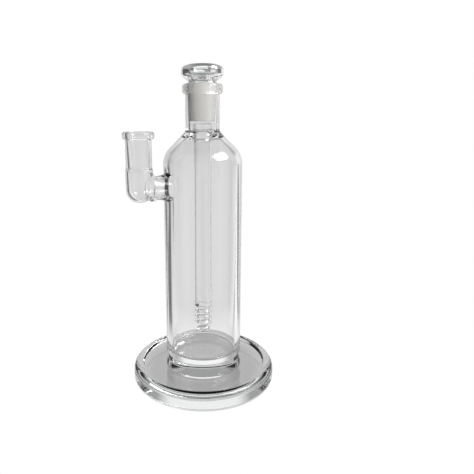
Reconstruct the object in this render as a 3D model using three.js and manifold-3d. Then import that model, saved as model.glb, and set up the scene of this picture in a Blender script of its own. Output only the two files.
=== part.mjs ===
// A glass gas-washing bubbler: a tall barrel on a thick round base plate, with a
// tapered ground neck, a dip tube that ends in a coiled diffuser, a side arm that
// turns up into a tapered socket, and a mouthpiece that lifts out of the neck.
// Millimetres, +Z up. The origin is on the barrel's axis at the base's underside.
import * as THREE from 'three';
import { mergeVertices } from 'three/addons/utils/BufferGeometryUtils.js';
import Module from 'manifold-3d';

const wasm = await Module();
wasm.setup();

// ---- Driving dimensions ---------------------------------------------------

const FINE = 40; // facets around the barrel and the base
const MEDIUM = 32; // facets around the neck and the mouthpiece
const COARSE = 28; // facets around the side arm and its socket
const GAP = 0.3; // clearance where two fused sections are cut to each other

const BASE = {
  radius: 61.2, height: 16, edge: 4.2, roll: 6.2, recess: 13, recessRadius: 51.5, lipInner: 53.4,
};
const BARREL = { radius: 32.5, wall: 4.4, floor: 27, corner: 4, top: 188.4 };
const FOOT = { radius: 32.5, wide: 31.9, waist: 29.8, edge: 24 };
const SHOULDER = { sweep: 19, slope: 45, fillet: 5 };
const NECK = { radius: 13.8, clearBore: 10.4, socketStart: 222.5, beadRadius: 16.4 };
const NECK_JOINT = { mouthRadius: 12, top: 252.7, beadStart: 244.3 };
const SIDE_JOINT = { mouthRadius: 8.6, top: 215.5, beadStart: 209.6 };
const TAPER = 1 / 20; // radius lost per millimetre of depth in a ground joint
const DIP = { radius: 7.5, bore: 6.1, top: 221, bottom: 69.2, sealBelow: 208.2, sealAbove: 214.6 };
const COIL = { radius: 6.1, wire: 1.6, pitch: 5, turns: 4, top: 67.2, start: 135 };
const ARM = {
  turn: 208, height: 171.2, reach: 55.7, radius: 8.9, bore: 7.2, weldEnd: 40.5, weldRadius: 9.5, mouth: 9.5,
};
const UPRIGHT = {
  radius: 10.1, bulb: 10.7, bulbBore: 8.4, throat: 8.7, step: 187.8, beadRadius: 12.3,
};
const MOUTHPIECE = { waist: 11.7, bore: 9.8, endBore: 8.7, waistTop: 255.8, top: 267.3, flange: 17.4 };
const JOINT_FILM = 0.15; // radial clearance between the ground cone and its socket

// ---- Materials ------------------------------------------------------------

const clearGlass = (color) => new THREE.MeshStandardMaterial({ color, roughness: 0.04, metalness: 0 });
const groundGlass = (color) => new THREE.MeshStandardMaterial({ color, roughness: 0.6, metalness: 0 });

const CLEAR = '#dfe3e3';
const BASE_TINT = '#c9d2ce';
const GROUND = '#d6d6d1';

// ---- Outlines: lists of [radius, height] that run up the outside ----------

const radians = (degrees) => (degrees * Math.PI) / 180;

function arc(centreR, centreZ, radius, from, to, steps) {
  const points = [];
  for (let i = 0; i <= steps; i += 1) {
    const angle = radians(from + ((to - from) * i) / steps);
    points.push([centreR + radius * Math.cos(angle), centreZ + radius * Math.sin(angle)]);
  }
  return points;
}

// A full turn of an outline about +Z. A tube's outline closes on its own first point.
function turned(outline, facets, isTube = true) {
  const points = isTube ? [...outline, outline[0]] : outline;
  const profile = points.map(([r, z]) => new THREE.Vector2(r, z));
  return new THREE.LatheGeometry(profile, facets).rotateX(Math.PI / 2);
}

const neckBore = (z) => NECK_JOINT.mouthRadius - (NECK_JOINT.top - z) * TAPER;
const sideBore = (z) => SIDE_JOINT.mouthRadius - (SIDE_JOINT.top - z) * TAPER;

// ---- Cutting --------------------------------------------------------------

function toSolid(geometry) {
  const bare = geometry.clone();
  bare.deleteAttribute('normal');
  bare.deleteAttribute('uv');
  const merged = mergeVertices(bare, 1e-4);
  return new wasm.Manifold(new wasm.Mesh({
    numProp: 3,
    vertProperties: new Float32Array(merged.attributes.position.array),
    triVerts: new Uint32Array(merged.index.array),
  }));
}

function cut(geometry, ...tools) {
  let solid = toSolid(geometry);
  tools.forEach((tool) => {
    solid = solid.subtract(toSolid(tool));
  });
  const mesh = solid.getMesh();
  const result = new THREE.BufferGeometry();
  result.setAttribute('position', new THREE.BufferAttribute(mesh.vertProperties, 3));
  result.setIndex(new THREE.BufferAttribute(mesh.triVerts, 1));
  return result;
}

function post(radius, bottom, top, facets) {
  const height = top - bottom;
  const solid = new THREE.CylinderGeometry(radius, radius, height, facets);
  return solid.rotateX(Math.PI / 2).translate(0, 0, bottom + height / 2);
}

// ---- Base and barrel ------------------------------------------------------

function basePlate() {
  const rollR = BASE.radius - BASE.roll;
  const rollZ = BASE.height - BASE.roll;
  const edgeR = BASE.radius - BASE.edge;
  return turned([
    [0, 0],
    ...arc(edgeR, BASE.edge, BASE.edge, -90, 0, 4),
    ...arc(rollR, rollZ, BASE.roll, 0, 90, 6),
    [BASE.lipInner, BASE.height - 0.7],
    [BASE.recessRadius, BASE.recess],
    [0, BASE.recess],
  ], FINE, false);
}

const barrelBore = BARREL.radius - BARREL.wall;
const cornerTop = BARREL.floor + BARREL.corner;

// The solid foot of the barrel, dished on top to form its rounded floor. Its cone
// spreads to the base under the barrel's rounded lower edge.
function foot() {
  const { radius, wide, waist, edge } = FOOT;
  return turned([
    [0, BASE.recess],
    [wide + 0.7, BASE.recess],
    [wide, BASE.recess + 0.7],
    [waist, edge - 1],
    [waist + 0.4, edge],
    [radius - 0.7, edge + 0.6],
    [radius, edge + 2],
    [radius, cornerTop],
    ...arc(barrelBore - BARREL.corner, cornerTop, BARREL.corner, 0, -90, 4),
    [0, BARREL.floor],
  ], FINE, false);
}

// A round bar along the side arm's axis, used to open holes for it.
function armBar(radius, from, to) {
  const bar = new THREE.CylinderGeometry(radius, radius, to - from, COARSE);
  bar.rotateZ(Math.PI / 2).translate((from + to) / 2, 0, ARM.height);
  return bar;
}

function barrelTube() {
  const tube = turned([
    [barrelBore, cornerTop],
    [BARREL.radius, cornerTop],
    [BARREL.radius, BARREL.top],
    [barrelBore, BARREL.top],
  ], FINE);
  const hole = armBar(ARM.mouth, barrelBore - 6, BARREL.radius + 6).rotateZ(radians(ARM.turn));
  return cut(tube, hole);
}

// ---- Shoulder and neck ----------------------------------------------------

// The shoulder's surface at a distance inside the outer one: an arc, a cone at
// 45 degrees and a fillet up into the neck.
function shoulderLine(inset, endRadius) {
  const sweepR = BARREL.radius - SHOULDER.sweep;
  const sweep = arc(sweepR, BARREL.top, SHOULDER.sweep - inset, 0, SHOULDER.slope, 5);
  const [lastR, lastZ] = sweep[sweep.length - 1];
  const filletRadius = SHOULDER.fillet + inset;
  const filletR = endRadius + filletRadius;
  const filletStart = filletR - filletRadius * Math.cos(radians(SHOULDER.slope));
  const filletZ = lastZ + (lastR - filletStart) + filletRadius * Math.sin(radians(SHOULDER.slope));
  return [...sweep, ...arc(filletR, filletZ, filletRadius, 180 + SHOULDER.slope, 180, 3)];
}

const shoulderOuter = shoulderLine(0, NECK.radius);
const shoulderTop = shoulderOuter[shoulderOuter.length - 1][1];

function shoulder() {
  const inner = shoulderLine(BARREL.wall, NECK.clearBore).filter(([, z]) => z < DIP.sealBelow);
  return turned([
    ...shoulderOuter,
    [NECK.clearBore, shoulderTop],
    [NECK.clearBore, DIP.sealBelow + GAP],
    ...inner.reverse(),
  ], FINE);
}

function neckTube() {
  return turned([
    [NECK.clearBore, shoulderTop],
    [NECK.radius, shoulderTop],
    [NECK.radius, NECK.socketStart],
    [neckBore(NECK.socketStart), NECK.socketStart],
    [NECK.clearBore, NECK.socketStart - 1],
  ], MEDIUM);
}

function neckSocket() {
  const bottom = NECK.socketStart;
  const top = NECK_JOINT.beadStart;
  return turned([
    [neckBore(bottom), bottom],
    [NECK.radius, bottom],
    [NECK.radius, top],
    [neckBore(top), top],
  ], MEDIUM);
}

// The rolled bead at a socket's mouth, with a rounded outer edge.
function rolledBead(joint, tubeRadius, beadRadius, bore, facets) {
  const half = (joint.top - joint.beadStart) / 2;
  const round = Math.min(half, beadRadius - tubeRadius);
  const rollR = beadRadius - round;
  return turned([
    [bore(joint.beadStart), joint.beadStart],
    [tubeRadius, joint.beadStart],
    ...arc(rollR, joint.beadStart + round, round, -90, 0, 3),
    ...arc(rollR, joint.top - round, round, 0, 90, 3),
    [bore(joint.top), joint.top],
  ], facets);
}

// ---- Dip tube and diffuser ------------------------------------------------

function ringSeal() {
  const bulge = NECK.clearBore - GAP;
  return turned([
    [DIP.radius, DIP.sealBelow],
    [bulge, DIP.sealBelow + 0.8],
    [bulge, DIP.sealAbove],
    [DIP.radius, DIP.sealAbove - 0.8],
  ], MEDIUM);
}

function dipTube() {
  return turned([
    [DIP.bore, DIP.bottom],
    [DIP.radius, DIP.bottom],
    [DIP.radius, DIP.top],
    [DIP.bore, DIP.top],
  ], MEDIUM);
}

class CoilCurve extends THREE.Curve {
  getPoint(t, target = new THREE.Vector3()) {
    const angle = radians(COIL.start) + t * COIL.turns * 2 * Math.PI;
    const z = COIL.top - t * COIL.turns * COIL.pitch;
    return target.set(COIL.radius * Math.cos(angle), -COIL.radius * Math.sin(angle), z);
  }
}

function diffuserCoil() {
  const section = new THREE.Shape().absarc(0, 0, COIL.wire, 0, 2 * Math.PI);
  return new THREE.ExtrudeGeometry(section, {
    steps: COIL.turns * 12,
    curveSegments: 6,
    extrudePath: new CoilCurve(),
  });
}

// The rounded cone that closes the coil, a small gap under its last turn.
function diffuserTip() {
  const top = COIL.top - COIL.turns * COIL.pitch - COIL.wire - GAP;
  const radius = COIL.radius;
  return turned([
    [0, top - 3.4],
    [radius * 0.42, top - 3.1],
    [radius * 0.78, top - 1.6],
    [radius, top],
    [0, top],
  ], COARSE, false);
}

// ---- Side arm, in its own frame: out along +X from the barrel's axis -------

function turnedAlongArm(outline) {
  return turned(outline, COARSE).rotateY(Math.PI / 2).translate(0, 0, ARM.height);
}

const elbowStart = ARM.reach - UPRIGHT.radius - 2;

// The arm swells and its bore opens out like a trumpet where it meets the barrel.
function sideArmWeld() {
  const barrelCutter = post(BARREL.radius + GAP, ARM.height - 30, ARM.height + 30, FINE);
  return cut(turnedAlongArm([
    [ARM.mouth, BARREL.radius - 8],
    [14, BARREL.radius - 8],
    [14, 33],
    [12.4, 34.5],
    [11.2, 36],
    [10.2, 38],
    [ARM.weldRadius, ARM.weldEnd],
    [ARM.bore, ARM.weldEnd],
    [7.4, 38],
    [7.9, 36],
    [8.7, 34.5],
    [ARM.mouth, 33],
  ]), barrelCutter);
}

function sideArmTube() {
  return turnedAlongArm([
    [ARM.bore, ARM.weldEnd + GAP],
    [ARM.weldRadius, ARM.weldEnd + GAP],
    [ARM.radius, elbowStart],
    [ARM.bore, elbowStart],
  ]);
}

function elbowWeld() {
  const start = elbowStart + GAP;
  const cutter = post(UPRIGHT.bulb + GAP, ARM.height, ARM.height + 30, COARSE);
  const bulbCutter = new THREE.SphereGeometry(UPRIGHT.bulb + 2 * GAP, COARSE, COARSE / 2);
  bulbCutter.rotateX(Math.PI / 2).translate(0, 0, ARM.height);
  cutter.translate(ARM.reach, 0, 0);
  bulbCutter.translate(ARM.reach, 0, 0);
  return cut(turnedAlongArm([
    [ARM.bore, start],
    [ARM.radius, start],
    [ARM.radius + 0.3, start + 0.8],
    [ARM.radius + 0.9, start + 1.6],
    [ARM.radius + 0.9, ARM.reach],
    [ARM.bore, ARM.reach],
  ]), cutter, bulbCutter);
}

// ---- Upright of the side arm, in the barrel's frame ------------------------

const uprightX = ARM.reach * Math.cos(radians(ARM.turn));
const uprightY = ARM.reach * Math.sin(radians(ARM.turn));

function sideBulb() {
  const solid = turned([
    ...arc(0, ARM.height, UPRIGHT.bulb, -90, 0, 7),
    [UPRIGHT.bulb, UPRIGHT.step - 2.4],
    [UPRIGHT.radius, UPRIGHT.step],
    [sideBore(UPRIGHT.step), UPRIGHT.step],
    [UPRIGHT.throat, UPRIGHT.step - 1.4],
    ...arc(0, ARM.height, UPRIGHT.bulbBore, 0, -90, 6),
  ], COARSE, false);
  const hole = armBar(ARM.bore, ARM.reach - UPRIGHT.bulb - 4, ARM.reach - 2);
  hole.rotateZ(radians(ARM.turn)).translate(-uprightX, -uprightY, 0);
  return cut(solid, hole);
}

function sideSocket() {
  const bottom = UPRIGHT.step;
  const top = SIDE_JOINT.beadStart;
  return turned([
    [sideBore(bottom), bottom],
    [UPRIGHT.radius, bottom],
    [UPRIGHT.radius, top],
    [sideBore(top), top],
  ], COARSE);
}

// ---- Mouthpiece -----------------------------------------------------------

const coneRadius = (z) => neckBore(z) - JOINT_FILM;

function mouthpieceCone() {
  const bottom = NECK.socketStart + 0.5;
  const top = NECK_JOINT.top;
  return turned([
    [MOUTHPIECE.endBore, bottom],
    [coneRadius(bottom), bottom],
    [coneRadius(top), top],
    [MOUTHPIECE.bore, top],
  ], MEDIUM);
}

function mouthpieceWaist() {
  return turned([
    [MOUTHPIECE.bore, NECK_JOINT.top],
    [MOUTHPIECE.waist, NECK_JOINT.top],
    [MOUTHPIECE.waist, MOUTHPIECE.waistTop],
    [MOUTHPIECE.bore, MOUTHPIECE.waistTop],
  ], MEDIUM);
}

// A thick lip that swells out of the waist and rounds over to a flat top.
function mouthpieceFlange() {
  const { bore, waist, waistTop, top, flange } = MOUTHPIECE;
  const round = 4;
  return turned([
    [bore, waistTop],
    [waist, waistTop],
    [flange - 1.6, waistTop + 2.6],
    [flange - 0.4, waistTop + 4.8],
    ...arc(flange - round, top - round, round, 10, 90, 4),
    [bore + 1.2, top],
    [bore, top - 2],
  ], MEDIUM);
}

// ---- Assembly -------------------------------------------------------------

function piece(name, geometry, material) {
  const mesh = new THREE.Mesh(geometry, material);
  mesh.name = name;
  return mesh;
}

function barrelSections() {
  return [
    piece('base_plate', basePlate(), clearGlass(BASE_TINT)),
    piece('barrel_foot', foot(), clearGlass(BASE_TINT)),
    piece('barrel_tube', barrelTube(), clearGlass(CLEAR)),
    piece('shoulder', shoulder(), clearGlass(CLEAR)),
  ];
}

function neckSections() {
  const bead = rolledBead(NECK_JOINT, NECK.radius, NECK.beadRadius, neckBore, MEDIUM);
  return [
    piece('neck_tube', neckTube(), clearGlass(CLEAR)),
    piece('neck_socket', neckSocket(), groundGlass(GROUND)),
    piece('neck_bead', bead, groundGlass(GROUND)),
  ];
}

function dipTubeSections() {
  return [
    piece('ring_seal', ringSeal(), clearGlass(CLEAR)),
    piece('dip_tube', dipTube(), clearGlass(CLEAR)),
    piece('diffuser_coil', diffuserCoil(), clearGlass(CLEAR)),
    piece('diffuser_tip', diffuserTip(), clearGlass(CLEAR)),
  ];
}

function sideArmSections() {
  const arm = new THREE.Group();
  arm.rotation.z = radians(ARM.turn);
  arm.add(
    piece('side_arm_weld', sideArmWeld(), clearGlass(CLEAR)),
    piece('side_arm_tube', sideArmTube(), clearGlass(CLEAR)),
    piece('elbow_weld', elbowWeld(), clearGlass(CLEAR)),
  );
  return arm;
}

function uprightSections() {
  const bead = rolledBead(SIDE_JOINT, UPRIGHT.radius, UPRIGHT.beadRadius, sideBore, COARSE);
  const upright = new THREE.Group();
  upright.position.set(uprightX, uprightY, 0);
  upright.add(
    piece('elbow_bulb', sideBulb(), clearGlass(CLEAR)),
    piece('side_socket', sideSocket(), clearGlass(CLEAR)),
    piece('side_socket_bead', bead, clearGlass(CLEAR)),
  );
  return upright;
}

function mouthpieceSections() {
  return [
    piece('mouthpiece_cone', mouthpieceCone(), groundGlass(GROUND)),
    piece('mouthpiece_waist', mouthpieceWaist(), clearGlass(CLEAR)),
    piece('mouthpiece_flange', mouthpieceFlange(), clearGlass(CLEAR)),
  ];
}

const bubbler = new THREE.Group();
bubbler.add(...barrelSections(), ...neckSections(), ...dipTubeSections());
bubbler.add(sideArmSections(), uprightSections());
bubbler.add(...mouthpieceSections());

export default bubbler;
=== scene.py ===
import math

import bmesh
import bpy
from mathutils import Matrix, Vector

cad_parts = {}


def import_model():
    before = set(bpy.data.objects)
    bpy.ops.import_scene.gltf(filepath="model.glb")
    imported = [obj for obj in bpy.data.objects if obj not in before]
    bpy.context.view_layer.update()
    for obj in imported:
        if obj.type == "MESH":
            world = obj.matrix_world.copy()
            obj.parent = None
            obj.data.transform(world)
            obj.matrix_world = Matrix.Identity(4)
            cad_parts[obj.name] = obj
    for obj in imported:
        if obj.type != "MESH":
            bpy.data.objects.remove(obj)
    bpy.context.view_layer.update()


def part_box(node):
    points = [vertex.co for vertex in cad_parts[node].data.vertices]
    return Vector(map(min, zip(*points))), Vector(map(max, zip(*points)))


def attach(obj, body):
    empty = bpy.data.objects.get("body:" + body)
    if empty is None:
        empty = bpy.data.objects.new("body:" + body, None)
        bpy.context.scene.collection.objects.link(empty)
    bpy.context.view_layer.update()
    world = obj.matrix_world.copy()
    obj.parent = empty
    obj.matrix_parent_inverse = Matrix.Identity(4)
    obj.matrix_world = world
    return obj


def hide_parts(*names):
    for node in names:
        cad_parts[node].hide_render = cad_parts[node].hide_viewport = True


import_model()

MM = 0.001
FINE = 160  # facets round the barrel and the base
MEDIUM = 112  # facets round the neck, the mouthpiece and the side arm
ARC_STEP = 7  # degrees between the points of a rounded corner
BULB_STEP = 6  # degrees between the points of the side arm's round bottom
SHARP = 32  # degrees between faces from which an edge of the vessel is sharp
ON_AXIS, TOUCHING = 1e-6, 1e-7  # closer than this counts as one point


# ---- Sizes read from the frame, in metres ----------------------------------


def low(node):
    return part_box(node)[0]


def high(node):
    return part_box(node)[1]


def radius(node):
    return (high(node).x - low(node).x) / 2


def centre(node):
    return (low(node) + high(node)) / 2


BASE_R = radius("base_plate")
LIP_Z = high("base_plate").z
RECESS_Z = low("barrel_foot").z
BARREL_R = radius("barrel_tube")
WALL = 4.4 * MM
BORE_R = BARREL_R - WALL
FLOOR_Z = low("barrel_tube").z - 4 * MM  # of the barrel's inside
LIP_WIDTH = 7.8 * MM  # of the base's rolled lip, out to its rim
RECESS_R = BASE_R - 9.8 * MM
FOOT_R = 32.4 * MM
FOOT_WAIST_R = 29.6 * MM
FOOT_TOP = 24 * MM
SEAM = 0.05 * MM  # between the base and the barrel's foot
NECK_R = radius("neck_socket")
NECK_BORE_R = 10.4 * MM
NECK_FILLET, NECK_FILLET_RISE = 5 * MM, 2.07 * MM  # radius, and its reach up the neck
SOCKET_Z = low("neck_socket").z
BEAD_Z = low("neck_bead").z
BEAD_R = radius("neck_bead")
MOUTH_Z = high("neck_bead").z
MOUTH_R = 12 * MM
TAPER = 1 / 20
SHOULDER_TOP = high("shoulder").z
SEAL_LOW, SEAL_HIGH = low("ring_seal").z, high("ring_seal").z
DIP_R = radius("dip_tube")
DIP_BORE_R = 6.1 * MM
DIP_LOW, DIP_HIGH = low("dip_tube").z, high("dip_tube").z
ROD_R = 1.6 * MM  # of the glass rod that the diffuser is wound from
COIL_TURNS = 4
COIL_START = 135 / 360  # turns from +X to the coil's upper end
ARM_AXIS = centre("side_arm_tube")
ARM_R = (high("side_arm_tube").z - low("side_arm_tube").z) / 2
ARM_BORE_R = 7.2 * MM
ARM_FOOT_R = 12.8 * MM  # where the arm's trumpet lands on the barrel
ARM_MOUTH_R = 10.4 * MM  # where its bore opens into the barrel
ARM_FLARE_END = BARREL_R + 9.5 * MM  # where both flares begin, along the arm
ARM_SINK = 0.2 * MM  # how far the flares reach into the barrel's wall
FLARE_STEPS = 14
BEND_RADIUS, BEND_STEPS = 14 * MM, 18
BEND_GAP = 0.05 * MM  # keeps the bend's skin off the skins it joins
BULB_R = 10.7 * MM
BULB_BORE_R = 8.4 * MM
UPRIGHT = centre("side_socket_bead")
UPRIGHT_R = radius("side_socket")
UPRIGHT_MOUTH_R = 8.6 * MM
UPRIGHT_STEP = low("side_socket").z
UPRIGHT_BEAD_R = radius("side_socket_bead")
UPRIGHT_BEAD_Z, UPRIGHT_TOP = low("side_socket_bead").z, high("side_socket_bead").z
REACH = Vector((UPRIGHT.x, UPRIGHT.y)).length
MOUTHPIECE_BORE_R, MOUTHPIECE_INLET_R = 9.8 * MM, 8.7 * MM
JOINT_FILM = 0.15 * MM  # between the mouthpiece's cone and its socket


# ---- Outlines: corners (radius, height, rounding) that become smooth lines --


def rounded(corners):
    """The outline through these corners, each with its own rounding radius."""
    points = []
    for i, (r, z, rounding) in enumerate(corners):
        here = Vector((r, z))
        if rounding == 0:
            points.append(here)
            continue
        before = (Vector(corners[i - 1][:2]) - here).normalized()
        after = (Vector(corners[(i + 1) % len(corners)][:2]) - here).normalized()
        half = before.angle(after) / 2
        middle = here + (before + after).normalized() * rounding / math.sin(half)
        start = here + before * rounding / math.tan(half) - middle
        turn = start.angle_signed(here + after * rounding / math.tan(half) - middle)
        steps = max(2, math.ceil(abs(math.degrees(turn)) / ARC_STEP))
        for k in range(steps + 1):
            points.append(middle + Matrix.Rotation(-turn * k / steps, 2) @ start)
    return points


def finish_mesh(name, bm):
    bmesh.ops.remove_doubles(bm, verts=bm.verts, dist=TOUCHING)
    bmesh.ops.recalc_face_normals(bm, faces=bm.faces)
    mesh = bpy.data.meshes.new(name)
    bm.to_mesh(mesh)
    bm.free()
    mesh.shade_smooth()
    piece = bpy.data.objects.new(name, mesh)
    bpy.context.scene.collection.objects.link(piece)
    return piece


def skin(name, rings, place=Matrix.Identity(4), closed=False):
    """A surface over rings of points; a ring of one point closes an end."""
    bm = bmesh.new()
    loops = [[bm.verts.new(place @ spot) for spot in ring] for ring in rings]
    facets = max(len(loop) for loop in loops)
    for i in range(len(loops) if closed else len(loops) - 1):
        a, b = loops[i], loops[(i + 1) % len(loops)]
        for k in range(facets):
            n = (k + 1) % facets
            quad = [a[k % len(a)], a[n % len(a)], b[n % len(b)], b[k % len(b)]]
            bm.faces.new(list(dict.fromkeys(quad)))
    return finish_mesh(name, bm)


def turned(name, outline, facets, place=Matrix.Identity(4)):
    """A full turn of an outline about +Z, closed on itself or on the axis."""
    rings = []
    for point in outline:
        count = facets if point.x > ON_AXIS else 1
        angles = [2 * math.pi * k / facets for k in range(count)]
        rings.append([Vector((point.x * math.cos(a), point.x * math.sin(a), point.y)) for a in angles])
    return skin(name, rings, place, closed=outline[0].x > ON_AXIS)


def combine(target, tool, operation):
    """Joins or cuts target with tool, and removes tool."""
    modifier = target.modifiers.new("combine", "BOOLEAN")
    modifier.operation = operation
    modifier.object = tool
    modifier.solver = "EXACT"
    graph = bpy.context.evaluated_depsgraph_get()
    mesh = bpy.data.meshes.new_from_object(target.evaluated_get(graph))
    target.modifiers.clear()
    target.data = mesh
    bpy.data.objects.remove(tool)


def along_arm():
    """Turns an outline's +Z into the side arm's outward direction, at its height."""
    turn = Matrix.Rotation(math.atan2(UPRIGHT.y, UPRIGHT.x), 4, "Z")
    lay = Matrix.Rotation(math.pi / 2, 4, "Y")
    return Matrix.Translation((0, 0, ARM_AXIS.z)) @ turn @ lay


# ---- Materials ---------------------------------------------------------------


GLASS_IOR = 1.474
CLEAR_TINT = (0.985, 0.985, 0.985, 1)
DEPTH_TINT, DEPTH_DENSITY = (0.76, 0.8, 0.78, 1), 4  # faint green-grey in thick glass
JOINT_MIN_R, JOINT_MAX_R = 10.25 * MM, 12.2 * MM  # the ground faces lie between these
JOINT_LOW, JOINT_HIGH = SOCKET_Z + 0.4 * MM, MOUTH_Z - 0.7 * MM
BEAD_ROUGHNESS = 0.5
BEAD_BLEND = 0.5 * MM  # half the height over which the socket's grinding coarsens
SOCKET_GROUND = {"roughness": 0.12, "through": 1.0, "tone": 0.98}
CONE_GROUND = {"roughness": 0.5, "through": 0.1, "tone": 0.74}


def maths(nodes, links, operation, first, second):
    """A Math node over two sockets or numbers."""
    node = nodes.new("ShaderNodeMath")
    node.operation = operation
    for socket, value in zip(node.inputs, (first, second)):
        if isinstance(value, bpy.types.NodeSocket):
            links.new(value, socket)
        else:
            socket.default_value = value
    return node.outputs[0]


def ranged(nodes, links, source, start, end, first=0.0, last=1.0):
    """Goes from first to last as the source goes from start to end."""
    step = nodes.new("ShaderNodeMapRange")
    step.inputs["From Min"].default_value = start
    step.inputs["From Max"].default_value = end
    step.inputs["To Min"].default_value = first
    step.inputs["To Max"].default_value = last
    links.new(source, step.inputs["Value"])
    return step.outputs["Result"]


def separated(nodes, links, vector):
    split = nodes.new("ShaderNodeSeparateXYZ")
    links.new(vector, split.inputs["Vector"])
    return split.outputs


def length_of(nodes, links, vector):
    measure = nodes.new("ShaderNodeVectorMath")
    measure.operation = "LENGTH"
    links.new(vector, measure.inputs[0])
    return measure.outputs["Value"]


def uneven(nodes, links, shader, vector, scale, detail, strength, distance):
    """Tilts the shader's surface a little with noise."""
    noise = nodes.new("ShaderNodeTexNoise")
    noise.inputs["Scale"].default_value = scale
    noise.inputs["Detail"].default_value = detail
    bump = nodes.new("ShaderNodeBump")
    bump.inputs["Strength"].default_value = strength
    bump.inputs["Distance"].default_value = distance
    links.new(vector, noise.inputs["Vector"])
    links.new(noise.outputs["Fac"], bump.inputs["Height"])
    links.new(bump.outputs["Normal"], shader.inputs["Normal"])


def ground_mask(nodes, links, where):
    """1 on the neck joint's two tapered faces, 0 on all other glass."""
    place = separated(nodes, links, where)
    flat = nodes.new("ShaderNodeCombineXYZ")
    links.new(place["X"], flat.inputs["X"])
    links.new(place["Y"], flat.inputs["Y"])
    away = length_of(nodes, links, flat.outputs["Vector"])
    mask = maths(nodes, links, "GREATER_THAN", away, JOINT_MIN_R)
    for way, value, limit in (
        ("LESS_THAN", away, JOINT_MAX_R),
        ("GREATER_THAN", place["Z"], JOINT_LOW),
        ("LESS_THAN", place["Z"], JOINT_HIGH),
    ):
        mask = maths(nodes, links, "MULTIPLY", mask, maths(nodes, links, way, value, limit))
    return mask


def clear_surface(nodes, links, where):
    """Fire-polished glass with the faint waviness of blown tube."""
    shader = nodes["Principled BSDF"]
    shader.inputs["Base Color"].default_value = CLEAR_TINT
    shader.inputs["Roughness"].default_value = 0
    shader.inputs["IOR"].default_value = GLASS_IOR
    shader.inputs["Transmission Weight"].default_value = 1
    stretch = nodes.new("ShaderNodeMapping")
    stretch.inputs["Scale"].default_value = (1, 1, 0.35)
    links.new(where, stretch.inputs["Vector"])
    uneven(nodes, links, shader, stretch.outputs["Vector"],
           scale=55, detail=2, strength=0.05, distance=0.5 * MM)
    return shader


def ground_surface(nodes, links, where, roughness, through, tone):
    """Ground glass in a warm grey of this tone, which lets part of the light through
    and is rougher at the height of the bead."""
    shader = nodes.new("ShaderNodeBsdfPrincipled")
    shader.inputs["Base Color"].default_value = (tone, 0.985 * tone, 0.96 * tone, 1)
    height = separated(nodes, links, where)["Z"]
    grinding = ranged(nodes, links, height, BEAD_Z - BEAD_BLEND, BEAD_Z + BEAD_BLEND,
                      roughness, BEAD_ROUGHNESS)
    links.new(grinding, shader.inputs["Roughness"])
    shader.inputs["IOR"].default_value = GLASS_IOR
    shader.inputs["Transmission Weight"].default_value = through
    uneven(nodes, links, shader, where, scale=2500, detail=3, strength=0.25, distance=0.05 * MM)
    return shader


def glass(name, ground=None):
    """Clear glass; ground describes the grinding of the neck joint's faces, where a
    piece has them. Lamps light what stands behind the glass, in place of caustics."""
    material = bpy.data.materials.new(name)
    material.use_nodes = True
    nodes, links = material.node_tree.nodes, material.node_tree.links
    where = nodes.new("ShaderNodeTexCoord").outputs["Object"]
    surface = clear_surface(nodes, links, where).outputs["BSDF"]
    if ground:
        joint = nodes.new("ShaderNodeMixShader")
        links.new(ground_mask(nodes, links, where), joint.inputs["Fac"])
        links.new(surface, joint.inputs[1])
        links.new(ground_surface(nodes, links, where, **ground).outputs["BSDF"], joint.inputs[2])
        surface = joint.outputs["Shader"]
    path = nodes.new("ShaderNodeLightPath")
    open_way = nodes.new("ShaderNodeBsdfTransparent")
    open_way.inputs["Color"].default_value = CLEAR_TINT
    mix = nodes.new("ShaderNodeMixShader")
    links.new(path.outputs["Is Shadow Ray"], mix.inputs["Fac"])
    links.new(surface, mix.inputs[1])
    links.new(open_way.outputs["BSDF"], mix.inputs[2])
    output = nodes["Material Output"]
    links.new(mix.outputs["Shader"], output.inputs["Surface"])
    volume = nodes.new("ShaderNodeVolumeAbsorption")
    volume.inputs["Color"].default_value = DEPTH_TINT
    volume.inputs["Density"].default_value = DEPTH_DENSITY
    links.new(volume.outputs["Volume"], output.inputs["Volume"])
    return material


CLEAR = glass("clear_glass")
BASE_GLASS = glass("base_glass")
SOCKET_GLASS = glass("vessel_glass", SOCKET_GROUND)
CONE_GLASS = glass("mouthpiece_glass", CONE_GROUND)


# ---- Vessel ------------------------------------------------------------------


def cone_offset(barrel_r):
    """Radius plus height along the shoulder's 45 degree cone, for a wall surface."""
    return SHOULDER_TOP + NECK_R - NECK_FILLET_RISE - (BARREL_R - barrel_r) * math.sqrt(2)


def base():
    """The thick round plate under the barrel, with a rolled lip round its recess."""
    return turned("base", rounded([
        (0, 0, 0),
        (BASE_R, 0, 4.2 * MM),
        (BASE_R, LIP_Z, 6.2 * MM),
        (BASE_R - LIP_WIDTH, LIP_Z, 1.3 * MM),
        (RECESS_R, RECESS_Z, 2.2 * MM),
        (0, RECESS_Z, 0),
    ]), FINE)


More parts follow.
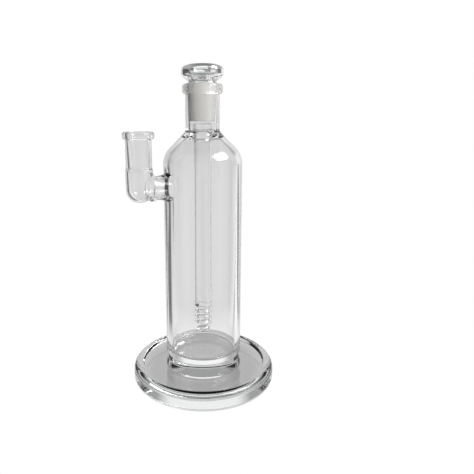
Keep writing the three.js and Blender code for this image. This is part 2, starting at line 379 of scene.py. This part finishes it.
def vessel():
    """Barrel, neck, side arm and dip tube: one fused piece of glass."""
    cone = cone_offset(BARREL_R)
    body = turned("vessel", rounded([
        (0, RECESS_Z + SEAM, 0),
        (FOOT_R + 0.6 * MM, RECESS_Z + SEAM, 0.3 * MM),
        (FOOT_R, RECESS_Z + 1.4 * MM, 1 * MM),
        (FOOT_WAIST_R, FOOT_TOP - 0.5 * MM, 0.5 * MM),
        (BARREL_R, FOOT_TOP, 2.6 * MM),
        (BARREL_R, cone - BARREL_R, 19 * MM),
        (NECK_R, cone - NECK_R, NECK_FILLET),
        (NECK_R, BEAD_Z, 0.8 * MM),
        (BEAD_R, BEAD_Z + 0.3 * MM, 2.4 * MM),
        (BEAD_R, MOUTH_Z, 2.9 * MM),
        (0, MOUTH_Z, 0),
    ]), FINE)
    combine(body, side_arm_outside(), "UNION")
    combine(body, upright_outside(), "UNION")
    combine(body, bend(BULB_R - BEND_GAP, ARM_R + BEND_GAP), "UNION")
    combine(body, barrel_bore(), "DIFFERENCE")
    combine(body, side_arm_bore(), "DIFFERENCE")
    combine(body, upright_bore(), "DIFFERENCE")
    combine(body, bend(BULB_BORE_R - BEND_GAP, ARM_BORE_R + BEND_GAP), "DIFFERENCE")
    return body


def barrel_bore():
    """The hollow inside: the chamber round the dip tube, the tube's own bore and
    the tapered socket above the seal that joins tube and neck."""
    cone = cone_offset(BORE_R)
    return turned("bore", rounded([
        (0, FLOOR_Z, 0),
        (BORE_R, FLOOR_Z, 4 * MM),
        (BORE_R, cone - BORE_R, 14.6 * MM),
        (cone - SEAL_LOW, SEAL_LOW, 1.2 * MM),
        (DIP_R, SEAL_LOW - 1.2 * MM, 2 * MM),
        (DIP_R, DIP_LOW, 0.6 * MM),
        (DIP_BORE_R, DIP_LOW, 0.5 * MM),
        (DIP_BORE_R, DIP_HIGH, 0.5 * MM),
        (DIP_R, DIP_HIGH, 0.6 * MM),
        (DIP_R, SEAL_HIGH - 0.8 * MM, 1 * MM),
        (NECK_BORE_R, SEAL_HIGH, 1 * MM),
        (NECK_BORE_R, SOCKET_Z - 1 * MM, 0.5 * MM),
        (neck_bore(SOCKET_Z), SOCKET_Z, 0.2 * MM),
        (neck_bore(MOUTH_Z), MOUTH_Z - 0.5 * MM, 0.4 * MM),
        (neck_bore(MOUTH_Z) + 1 * MM, MOUTH_Z + 0.5 * MM, 0),
        (0, MOUTH_Z + 0.5 * MM, 0),
    ]), FINE)


def trumpet(barrel_r, narrow, wide):
    """Rings that leave the arm at a radius and land smoothly on the barrel's wall."""
    rings = []
    for i in range(FLARE_STEPS + 1):
        t = math.radians(90 - 90 * i / FLARE_STEPS)
        r = narrow + (wide - narrow) * (1 - math.cos(t))
        ring = []
        for k in range(MEDIUM):
            a = 2 * math.pi * k / MEDIUM
            wall = math.sqrt(barrel_r ** 2 - (wide * math.sin(a)) ** 2) - ARM_SINK
            out = ARM_FLARE_END - (ARM_FLARE_END - wall) * math.sin(t)
            ring.append(Vector((r * math.cos(a), r * math.sin(a), out)))
        rings.append(ring)
    return rings


def arm_ring(r, distance):
    """A ring round the side arm, at a distance from the barrel's axis."""
    angles = [2 * math.pi * k / MEDIUM for k in range(MEDIUM)]
    return [Vector((r * math.cos(a), r * math.sin(a), distance)) for a in angles]


def side_arm_outside():
    """The arm, swelling like a trumpet to the barrel, with a weld at the upright."""
    flare = trumpet(BARREL_R, ARM_R, ARM_FOOT_R)
    weld = rounded([
        (ARM_R, REACH - 13 * MM, 0),
        (ARM_R + 0.9 * MM, REACH - 11.5 * MM, 1 * MM),
        (ARM_R + 0.9 * MM, REACH - 9 * MM, 1 * MM),
        (ARM_R, REACH - 8 * MM, 0),
    ])
    tube = [arm_ring(p.x, p.y) for p in weld] + [arm_ring(ARM_R, REACH)]
    inside = [[Vector((0, 0, BARREL_R - 10 * MM))], arm_ring(ARM_FOOT_R, BARREL_R - 8 * MM)]
    return skin("arm", [*inside, *flare, *tube, [Vector((0, 0, REACH))]], along_arm())


def side_arm_bore():
    """The arm's hollow, which opens into the barrel with a flare of its own."""
    flare = trumpet(BORE_R, ARM_BORE_R, ARM_MOUTH_R)
    inside = [[Vector((0, 0, BORE_R - 9 * MM))]]
    tube = [arm_ring(ARM_BORE_R, REACH), [Vector((0, 0, REACH))]]
    return skin("arm_bore", [*inside, *flare, *tube], along_arm())


def bend(upright_r, arm_r):
    """The fillet in the elbow's inner corner: a quarter turn of tube, from the
    upright's radius to the arm's."""
    side = Vector((0, 1, 0))
    angles = [2 * math.pi * k / MEDIUM for k in range(MEDIUM)]
    rings = []
    for i in range(BEND_STEPS + 1):
        t = math.radians(90 * i / BEND_STEPS)
        r = upright_r + (arm_r - upright_r) * i / BEND_STEPS
        away = Vector((math.sin(t), 0, math.cos(t)))
        middle = Vector((-BEND_RADIUS, 0, REACH - BEND_RADIUS)) + BEND_RADIUS * away
        rings.append([middle + r * (math.cos(a) * away + math.sin(a) * side) for a in angles])
    ends = [[Vector(sum(ring, Vector((0, 0, 0))) / MEDIUM)] for ring in (rings[0], rings[-1])]
    return skin("bend", [ends[0], *rings, ends[1]], along_arm())


def at_upright():
    return Matrix.Translation((UPRIGHT.x, UPRIGHT.y, 0))


def bulb_line(bulb_r):
    """The rounded bottom of the upright, from its axis to its side."""
    return [
        Vector((bulb_r * math.sin(math.radians(a)), ARM_AXIS.z - bulb_r * math.cos(math.radians(a))))
        for a in range(0, 90, BULB_STEP)
    ]


def upright_outside():
    """The upright from its round bottom to the bead at the socket's mouth."""
    return turned("upright", bulb_line(BULB_R) + rounded([
        (BULB_R, ARM_AXIS.z, 0),
        (BULB_R, UPRIGHT_STEP - 2.4 * MM, 2 * MM),
        (UPRIGHT_R, UPRIGHT_STEP, 2 * MM),
        (UPRIGHT_R, UPRIGHT_BEAD_Z, 0.8 * MM),
        (UPRIGHT_BEAD_R, UPRIGHT_BEAD_Z + 0.4 * MM, 2.1 * MM),
        (UPRIGHT_BEAD_R, UPRIGHT_TOP, 2.2 * MM),
        (0, UPRIGHT_TOP, 0),
    ]), MEDIUM, at_upright())


def upright_bore():
    """The upright's hollow, with the tapered socket above its step."""
    step_r = UPRIGHT_MOUTH_R - (UPRIGHT_TOP - UPRIGHT_STEP) * TAPER
    return turned("upright_bore", bulb_line(BULB_BORE_R) + rounded([
        (BULB_BORE_R, ARM_AXIS.z, 0),
        (BULB_BORE_R + 0.3 * MM, UPRIGHT_STEP - 2.6 * MM, 2.5 * MM),
        (step_r, UPRIGHT_STEP, 2.5 * MM),
        (UPRIGHT_MOUTH_R, UPRIGHT_TOP - 0.6 * MM, 0.5 * MM),
        (UPRIGHT_MOUTH_R + 1 * MM, UPRIGHT_TOP + 0.4 * MM, 0),
        (0, UPRIGHT_TOP + 0.4 * MM, 0),
    ]), MEDIUM, at_upright())


def neck_bore(z):
    """The radius of the neck's tapered socket at this height."""
    return MOUTH_R - (MOUTH_Z - z) * TAPER


def diffuser():
    """A glass rod wound in a helix under the dip tube."""
    wind = radius("diffuser_coil") - ROD_R
    steps, sides = 48, 20  # along each turn and round the rod
    top = high("diffuser_coil").z - ROD_R
    pitch = (top - low("diffuser_coil").z - ROD_R) / COIL_TURNS
    bm = bmesh.new()
    rings = []
    for i in range(COIL_TURNS * steps + 1):
        t = i / steps
        angle = 2 * math.pi * (t + COIL_START)
        out = Vector((math.cos(angle), -math.sin(angle), 0))
        along = Vector((-wind * math.sin(angle), -wind * math.cos(angle), -pitch / (2 * math.pi)))
        up = out.cross(along.normalized())
        spot = wind * out + Vector((0, 0, top - pitch * t))
        # the rod rounds off over its last radius at both ends
        ends = min(t, COIL_TURNS - t) * 2 * math.pi * wind / ROD_R
        fat = ROD_R * math.sqrt(max(0.02, 1 - max(0, 1 - ends) ** 2))
        ring = []
        for k in range(sides):
            a = 2 * math.pi * k / sides
            ring.append(bm.verts.new(spot + fat * (math.cos(a) * out + math.sin(a) * up)))
        rings.append(ring)
    for a, b in zip(rings, rings[1:]):
        for k in range(sides):
            n = (k + 1) % sides
            bm.faces.new([a[k], a[n], b[n], b[k]])
    bm.faces.new(rings[0])
    bm.faces.new(rings[-1])
    return finish_mesh("diffuser", bm)


def diffuser_tip():
    """The rounded end of the coil."""
    bottom, top = low("diffuser_tip").z, high("diffuser_tip").z
    wide = radius("diffuser_tip")
    return turned("diffuser_end", rounded([
        (0, bottom, 0),
        (wide * 0.5, bottom, 1.6 * MM),
        (wide, top, 0.5 * MM),
        (0, top, 0),
    ]), MEDIUM)


def mouthpiece():
    """The ground cone with its open waist and thick flange above the neck."""
    bottom = low("mouthpiece_cone").z
    waist_r, flange_r = radius("mouthpiece_waist"), radius("mouthpiece_flange")
    waist_top, top = high("mouthpiece_waist").z, high("mouthpiece_flange").z
    return turned("mouthpiece_glass", rounded([
        (MOUTHPIECE_INLET_R, bottom, 0.4 * MM),
        (neck_bore(bottom) - JOINT_FILM, bottom, 0.6 * MM),
        (neck_bore(MOUTH_Z) - JOINT_FILM, MOUTH_Z, 0.3 * MM),
        (waist_r - 0.5 * MM, waist_top - 1.6 * MM, 1 * MM),
        (flange_r - 0.5 * MM, waist_top + 2.6 * MM, 3.4 * MM),
        (flange_r, top, 5.2 * MM),
        (MOUTHPIECE_BORE_R + 1.2 * MM, top, 1.4 * MM),
        (MOUTHPIECE_BORE_R, top - 5 * MM, 2.5 * MM),
        (MOUTHPIECE_BORE_R, MOUTH_Z, 4 * MM),
    ]), MEDIUM)


def dress(piece, material, body, slot, *nodes):
    """Gives a piece its glass and its body, and hides the nodes it stands in for. The slot is not used."""
    piece.data.materials.clear()
    piece.data.materials.append(material)
    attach(piece, body)
    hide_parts(*nodes)


glass_vessel = vessel()
glass_vessel.data.set_sharp_from_angle(angle=math.radians(SHARP))
dress(base(), BASE_GLASS, "vessel", "base_glass", "base_plate")
dress(glass_vessel, SOCKET_GLASS, "vessel", "clear_glass", "barrel_foot", "barrel_tube", "shoulder",
      "neck_tube", "neck_socket", "neck_bead", "ring_seal", "dip_tube", "side_arm_weld",
      "side_arm_tube", "elbow_weld", "elbow_bulb", "side_socket", "side_socket_bead")
dress(diffuser(), CLEAR, "vessel", "clear_glass", "diffuser_coil")
dress(diffuser_tip(), CLEAR, "vessel", "clear_glass", "diffuser_tip")
dress(mouthpiece(), CONE_GLASS, "mouthpiece", "ground_glass", "mouthpiece_cone", "mouthpiece_waist",
      "mouthpiece_flange")


# ---- Stage -------------------------------------------------------------------

# The floor and the background are white to the camera, and the glass sees a studio;
# the floor glows with painted soft lights, painted dark flags and painted shade. Its
# brightness is given by compass bearing in degrees, where 0 is straight behind
# the object as the camera sees it, and 90 is to the right.
FLOOR_PAINTED_STUDIO = [
    (-180, 0.6), (-120, 1.1),  # painted soft light from the front, on the left
    (-85, 0.5), (-72, 0.5),
    (-66, 0.15), (-44, 0.15),  # a painted dark band for a flag behind, on the left
    (-38, 1.0), (-22, 0.7), (22, 0.7), (33, 1.0),  # the painted back, brighter at its ends
    (37, 0.0), (43, 0.0),  # a painted dark band for a flag behind, on the right
    (52, 1.2), (85, 0.6),
    (115, 1.2), (180, 0.6),  # painted soft light from the front, on the right
]
NEAR_PAINTED_SHADE = [  # painted shade on the floor close to the base, at both sides
    (-180, 0.7), (-110, 0.7), (-95, 0.1), (-75, 0.9), (75, 0.9), (95, 0.3), (110, 0.7), (180, 0.7),
]
WALLS_ROUND = [
    (-180, 0.7), (-150, 0.8), (-110, 0.1), (-52, 0.1),  # dark cloth on the left
    (-44, 0.6), (0, 0.7), (44, 0.9), (52, 0.8),  # the wall behind
    (63, 0.2), (88, 0.2),  # dark cloth on the right
    (110, 1.0), (150, 0.6), (180, 0.7),
]
WINDOW_ROUND = [  # above the walls, with a bright window behind the object
    (-180, 0.4), (-32, 0.4), (-20, 1.0), (20, 1.0), (32, 0.4), (180, 0.4),
]
HIGH, TOP = 0.45, 0.2  # brightness higher up all round, and straight overhead
FLOOR_SHADOW_UNDER_BASE, FLOOR_SHADOW_EDGE = 0.36, 0.6  # painted shadow on the floor under the base, and its lighter edge
PEAK = 2.0  # the brightest value a ramp can give

# where one part of the studio changes into the next, from the first value to the
# second: distances from the object's axis on the floor, and the sine of the
# elevation above it
UNDER_TO_EDGE = (0.045, 0.062)
EDGE_TO_NEAR = (0.062, 0.085)
NEAR_TO_FLOOR = (0.085, 0.16)
FLOOR_TO_WALLS = (0.8, 4)
WALLS_TO_WINDOW = (0.2, 0.34)
WINDOW_TO_HIGH = (0.55, 0.67)
HIGH_TO_TOP = (0.67, 0.97)

FLOOR_HALF, FLOOR_LEVEL = 30, -0.2 * MM
LIGHT_DISTANCE, LIGHT_SIZE, LIGHT_AIM_Z = 0.9, (0.6, 0.5), 0.13
CAMERA_PLACE = (0, -0.4007, 0.2262)
CAMERA_TILT, CAMERA_ROLL = 11.37, -0.22  # degrees down, and off level
CAMERA_LENS, CAMERA_SHIFT = 36.84, (0.072, -0.047)
BOUNCES = 32
GLOSSY_BOUNCES = 6  # total reflections inside the glass count as glossy too


def grey(value):
    return (value / PEAK, value / PEAK, value / PEAK, 1)


def by_bearing(nodes, links, place, values):
    """A ramp of brightness for the direction in which a place lies from the object."""
    bearing = maths(nodes, links, "ARCTAN2", place["X"], place["Y"])
    ramp = nodes.new("ShaderNodeValToRGB")
    links.new(ranged(nodes, links, bearing, -math.pi, math.pi), ramp.inputs["Fac"])
    stops = ramp.color_ramp.elements
    while len(stops) < len(values):
        stops.new(0.5)
    for stop, (angle, _) in zip(stops, values):
        stop.position = (angle + 180) / 360
    for stop, (_, value) in zip(stops, values):
        stop.color = grey(value)
    return ramp.outputs["Color"]


def blended(nodes, links, share, first, second):
    """The first colour where share is 0 and the second where it is 1."""
    mix = nodes.new("ShaderNodeMixRGB")
    links.new(share, mix.inputs["Fac"])
    for socket, colour in ((mix.inputs["Color1"], first), (mix.inputs["Color2"], second)):
        if isinstance(colour, tuple):
            socket.default_value = colour
        else:
            links.new(colour, socket)
    return mix.outputs["Color"]


def white_to_camera(nodes, links, colour):
    """White where the camera looks at it directly; the glass sees the studio."""
    path = nodes.new("ShaderNodeLightPath")
    return blended(nodes, links, path.outputs["Is Camera Ray"], colour, grey(1))


def floor():
    """A wide glowing floor, white to the camera. The glass sees painted light on it: a
    painted shadow under the base, painted shade beside it, painted soft lights and
    dark flags round it, and far off it takes on the tones of the walls."""
    mesh = bpy.data.meshes.new("floor")
    corners = [(x * FLOOR_HALF, y * FLOOR_HALF, FLOOR_LEVEL) for x, y in ((-1, -1), (1, -1), (1, 1), (-1, 1))]
    mesh.from_pydata(corners, [], [(0, 1, 2, 3)])
    plane = bpy.data.objects.new("floor", mesh)
    bpy.context.scene.collection.objects.link(plane)
    material = bpy.data.materials.new("floor_with_painted_light")
    material.use_nodes = True
    nodes, links = material.node_tree.nodes, material.node_tree.links
    nodes.remove(nodes["Principled BSDF"])
    where = nodes.new("ShaderNodeTexCoord").outputs["Object"]
    place, away = separated(nodes, links, where), length_of(nodes, links, where)
    # painted shadow under the base, then painted shade beside it, then the painted studio further out
    seen = grey(FLOOR_SHADOW_UNDER_BASE)
    for (start, end), colour in (
        (UNDER_TO_EDGE, grey(FLOOR_SHADOW_EDGE)),
        (EDGE_TO_NEAR, by_bearing(nodes, links, place, NEAR_PAINTED_SHADE)),
        (NEAR_TO_FLOOR, by_bearing(nodes, links, place, FLOOR_PAINTED_STUDIO)),
        (FLOOR_TO_WALLS, by_bearing(nodes, links, place, WALLS_ROUND)),
    ):
        seen = blended(nodes, links, ranged(nodes, links, away, start, end), seen, colour)
    # the floor glows with its painted light, shade and shadow, though it is no lamp
    glow = nodes.new("ShaderNodeEmission")
    glow.inputs["Strength"].default_value = PEAK
    links.new(white_to_camera(nodes, links, seen), glow.inputs["Color"])
    links.new(glow.outputs["Emission"], nodes["Material Output"].inputs["Surface"])
    mesh.materials.append(material)


def world():
    """The studio above the floor: walls, a window behind, and a dimmer ceiling. It is
    white to the camera too."""
    space = bpy.data.worlds.new("studio")
    bpy.context.scene.world = space
    space.use_nodes = True
    nodes, links = space.node_tree.nodes, space.node_tree.links
    place = separated(nodes, links, nodes.new("ShaderNodeTexCoord").outputs["Generated"])
    seen = by_bearing(nodes, links, place, WALLS_ROUND)
    for (start, end), colour in (
        (WALLS_TO_WINDOW, by_bearing(nodes, links, place, WINDOW_ROUND)),
        (WINDOW_TO_HIGH, grey(HIGH)),
        (HIGH_TO_TOP, grey(TOP)),
    ):
        seen = blended(nodes, links, ranged(nodes, links, place["Z"], start, end), seen, colour)
    nodes["Background"].inputs["Strength"].default_value = PEAK
    links.new(white_to_camera(nodes, links, seen), nodes["Background"].inputs["Color"])


def studio_light(name, azimuth, elevation, power, mirrored=True):
    """A soft box that faces the object from a compass direction round it. One that
    isn't mirrored lights the ground faces but doesn't show in the clear glass."""
    a, e = math.radians(azimuth), math.radians(elevation)
    out = Vector((math.sin(a) * math.cos(e), -math.cos(a) * math.cos(e), math.sin(e)))
    data = bpy.data.lights.new(name, "AREA")
    data.shape = "RECTANGLE"
    data.size, data.size_y = LIGHT_SIZE
    data.energy = power
    lamp = bpy.data.objects.new(name, data)
    lamp.location = Vector((0, 0, LIGHT_AIM_Z)) + out * LIGHT_DISTANCE
    lamp.rotation_euler = out.to_track_quat("Z", "Y").to_euler()
    bpy.context.scene.collection.objects.link(lamp)
    lamp.visible_camera = False
    lamp.visible_glossy = lamp.visible_transmission = mirrored


def camera():
    """Looks along +Y from the front, tilted down a little and a touch off level."""
    data = bpy.data.cameras.new("camera")
    data.lens = CAMERA_LENS
    data.shift_x, data.shift_y = CAMERA_SHIFT
    eye = bpy.data.objects.new("camera", data)
    eye.location = CAMERA_PLACE
    roll = Matrix.Rotation(math.radians(CAMERA_ROLL), 4, "Z")
    turn = Matrix.Rotation(math.radians(90 - CAMERA_TILT), 4, "X") @ roll
    eye.rotation_euler = turn.to_euler()
    bpy.context.scene.collection.objects.link(eye)
    bpy.context.scene.camera = eye


floor()
world()
camera()
studio_light("key", azimuth=68, elevation=42, power=7)
studio_light("front_fill", azimuth=10, elevation=35, power=7, mirrored=False)
studio_light("back_fill", azimuth=205, elevation=35, power=7, mirrored=False)

scene = bpy.context.scene
scene.view_settings.view_transform = "Standard"
scene.cycles.max_bounces = BOUNCES
scene.cycles.transmission_bounces = BOUNCES
scene.cycles.glossy_bounces = GLOSSY_BOUNCES
scene.cycles.transparent_max_bounces = BOUNCES
scene.cycles.caustics_reflective = False
scene.cycles.caustics_refractive = False
